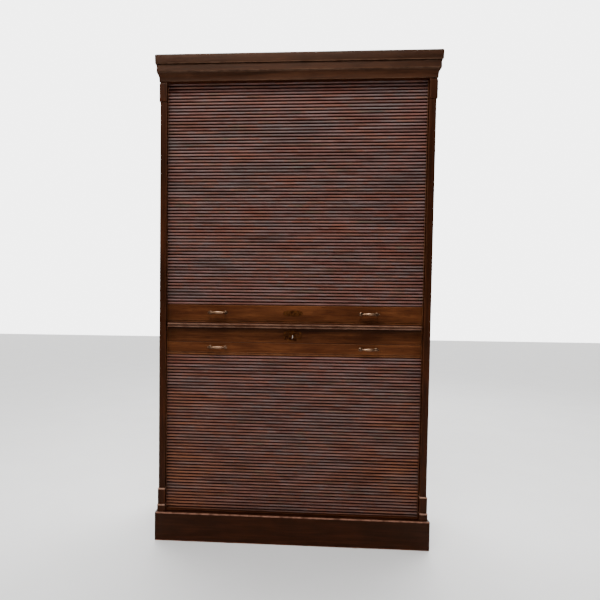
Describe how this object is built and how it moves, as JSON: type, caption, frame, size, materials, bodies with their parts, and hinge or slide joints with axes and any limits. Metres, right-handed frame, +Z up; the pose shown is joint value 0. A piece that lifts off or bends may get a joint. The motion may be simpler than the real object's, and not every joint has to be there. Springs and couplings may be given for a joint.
{
  "type": "roller shutter cabinet",
  "caption": "Tall wooden cabinet with an upper tambour shutter that slides up, a lower one that slides down, brass pulls, locks and a moulded cornice and plinth.",
  "frame": {"origin": "on the floor, under the middle of the width and of the depth", "axes": "+X to the right of the cabinet's front, +Y to its back, +Z up"},
  "size_m": [1.186, 0.4296, 2.075],
  "materials": {
    "case_wood": "dark reddish brown stained and varnished wood",
    "panel_wood": "dark reddish brown stained and varnished panels",
    "slat_wood": "dark red brown slats with a satin varnish",
    "inner_wood": "plain brown wood, thinly stained",
    "canvas": "unbleached plain-weave canvas",
    "aged_brass": "aged brass, dark in its hollows and bright on its edges",
    "lock_brass": "dull cast brass",
    "lock_steel": "worn bright steel",
    "screw_steel": "dark oxidised steel"
  },
  "bodies": {
    "cabinet": {"back_frame": "inner_wood", "back_panels": "panel_wood", "base_blocks_left": "case_wood", "base_blocks_right": "case_wood", "bottom_board": "inner_wood", "bottom_rail": "case_wood", "cap_blocks_left": "case_wood", "cap_blocks_right": "case_wood", "cornice_front": "case_wood", "cornice_left": "case_wood", "cornice_right": "case_wood", "header_rail": "case_wood", "inner_ceiling": "inner_wood", "inner_floor": "inner_wood", "lock_rail": "case_wood", "lower_canvas": "canvas", "lower_escutcheon": "aged_brass", "lower_false_back": "inner_wood", "lower_lock_case": "lock_brass", "lower_shelf_bearers": "inner_wood", "lower_shelves": "inner_wood", "lower_slats": "slat_wood", "lower_track_left": "inner_wood", "lower_track_right": "inner_wood", "mid_nosing": "case_wood", "mid_shelf": "inner_wood", "pilaster_left": "case_wood", "pilaster_right": "case_wood", "plinth_back": "inner_wood", "plinth_front": "case_wood", "plinth_left": "case_wood", "plinth_right": "case_wood", "side_frame_left": "case_wood", "side_frame_right": "case_wood", "side_panels_left": "panel_wood", "side_panels_right": "panel_wood", "top_board": "case_wood", "upper_canvas": "canvas", "upper_false_back": "inner_wood", "upper_shelf_bearers": "inner_wood", "upper_shelves": "inner_wood", "upper_slats": "slat_wood", "upper_strike_plate": "lock_brass", "upper_track_left": "inner_wood", "upper_track_right": "inner_wood"},
    "upper_shutter": {"upper_lead_rail": "case_wood", "upper_handle_left": "aged_brass", "upper_handle_right": "aged_brass", "upper_handle_screws": "screw_steel", "upper_escutcheon": "aged_brass", "upper_lock_case": "lock_brass"},
    "lower_shutter": {"lower_lead_rail": "case_wood", "lower_handle_left": "aged_brass", "lower_handle_right": "aged_brass", "lower_handle_screws": "screw_steel", "lower_keeper": "lock_brass"},
    "upper_bolt": {"upper_lock_bolt": "lock_brass"},
    "lower_bolt": {"lower_lock_bolt": "lock_brass"},
    "key_body": {"key": "lock_steel"}
  },
  "joints": [
    {"name": "upper_shutter_slide", "type": "slide", "parent": "cabinet", "child": "upper_shutter", "axis": [0, 0, 1], "range_m": [0, 0.94], "deforming": ["upper_slats", "upper_canvas"]},
    {"name": "lower_shutter_slide", "type": "slide", "parent": "cabinet", "child": "lower_shutter", "axis": [0, 0, -1], "range_m": [0, 0.69], "deforming": ["lower_slats", "lower_canvas"]},
    {"name": "upper_bolt_slide", "type": "slide", "parent": "upper_shutter", "child": "upper_bolt", "axis": [0, 0, -1], "range_m": [0, 0.008]},
    {"name": "key_turn", "type": "hinge", "parent": "cabinet", "child": "key_body", "pos_m": [0, -0.17, 0.895], "axis": [0, 1, 0], "range_deg": [0, 90]},
    {"name": "lower_bolt_slide", "type": "slide", "parent": "cabinet", "child": "lower_bolt", "axis": [0, 0, -1], "range_m": [0, 0.008]}
  ],
  "couplings": [
    {"joint": "key_turn", "follows": "lower_bolt_slide", "rad_per_m": 196.35}
  ]
}
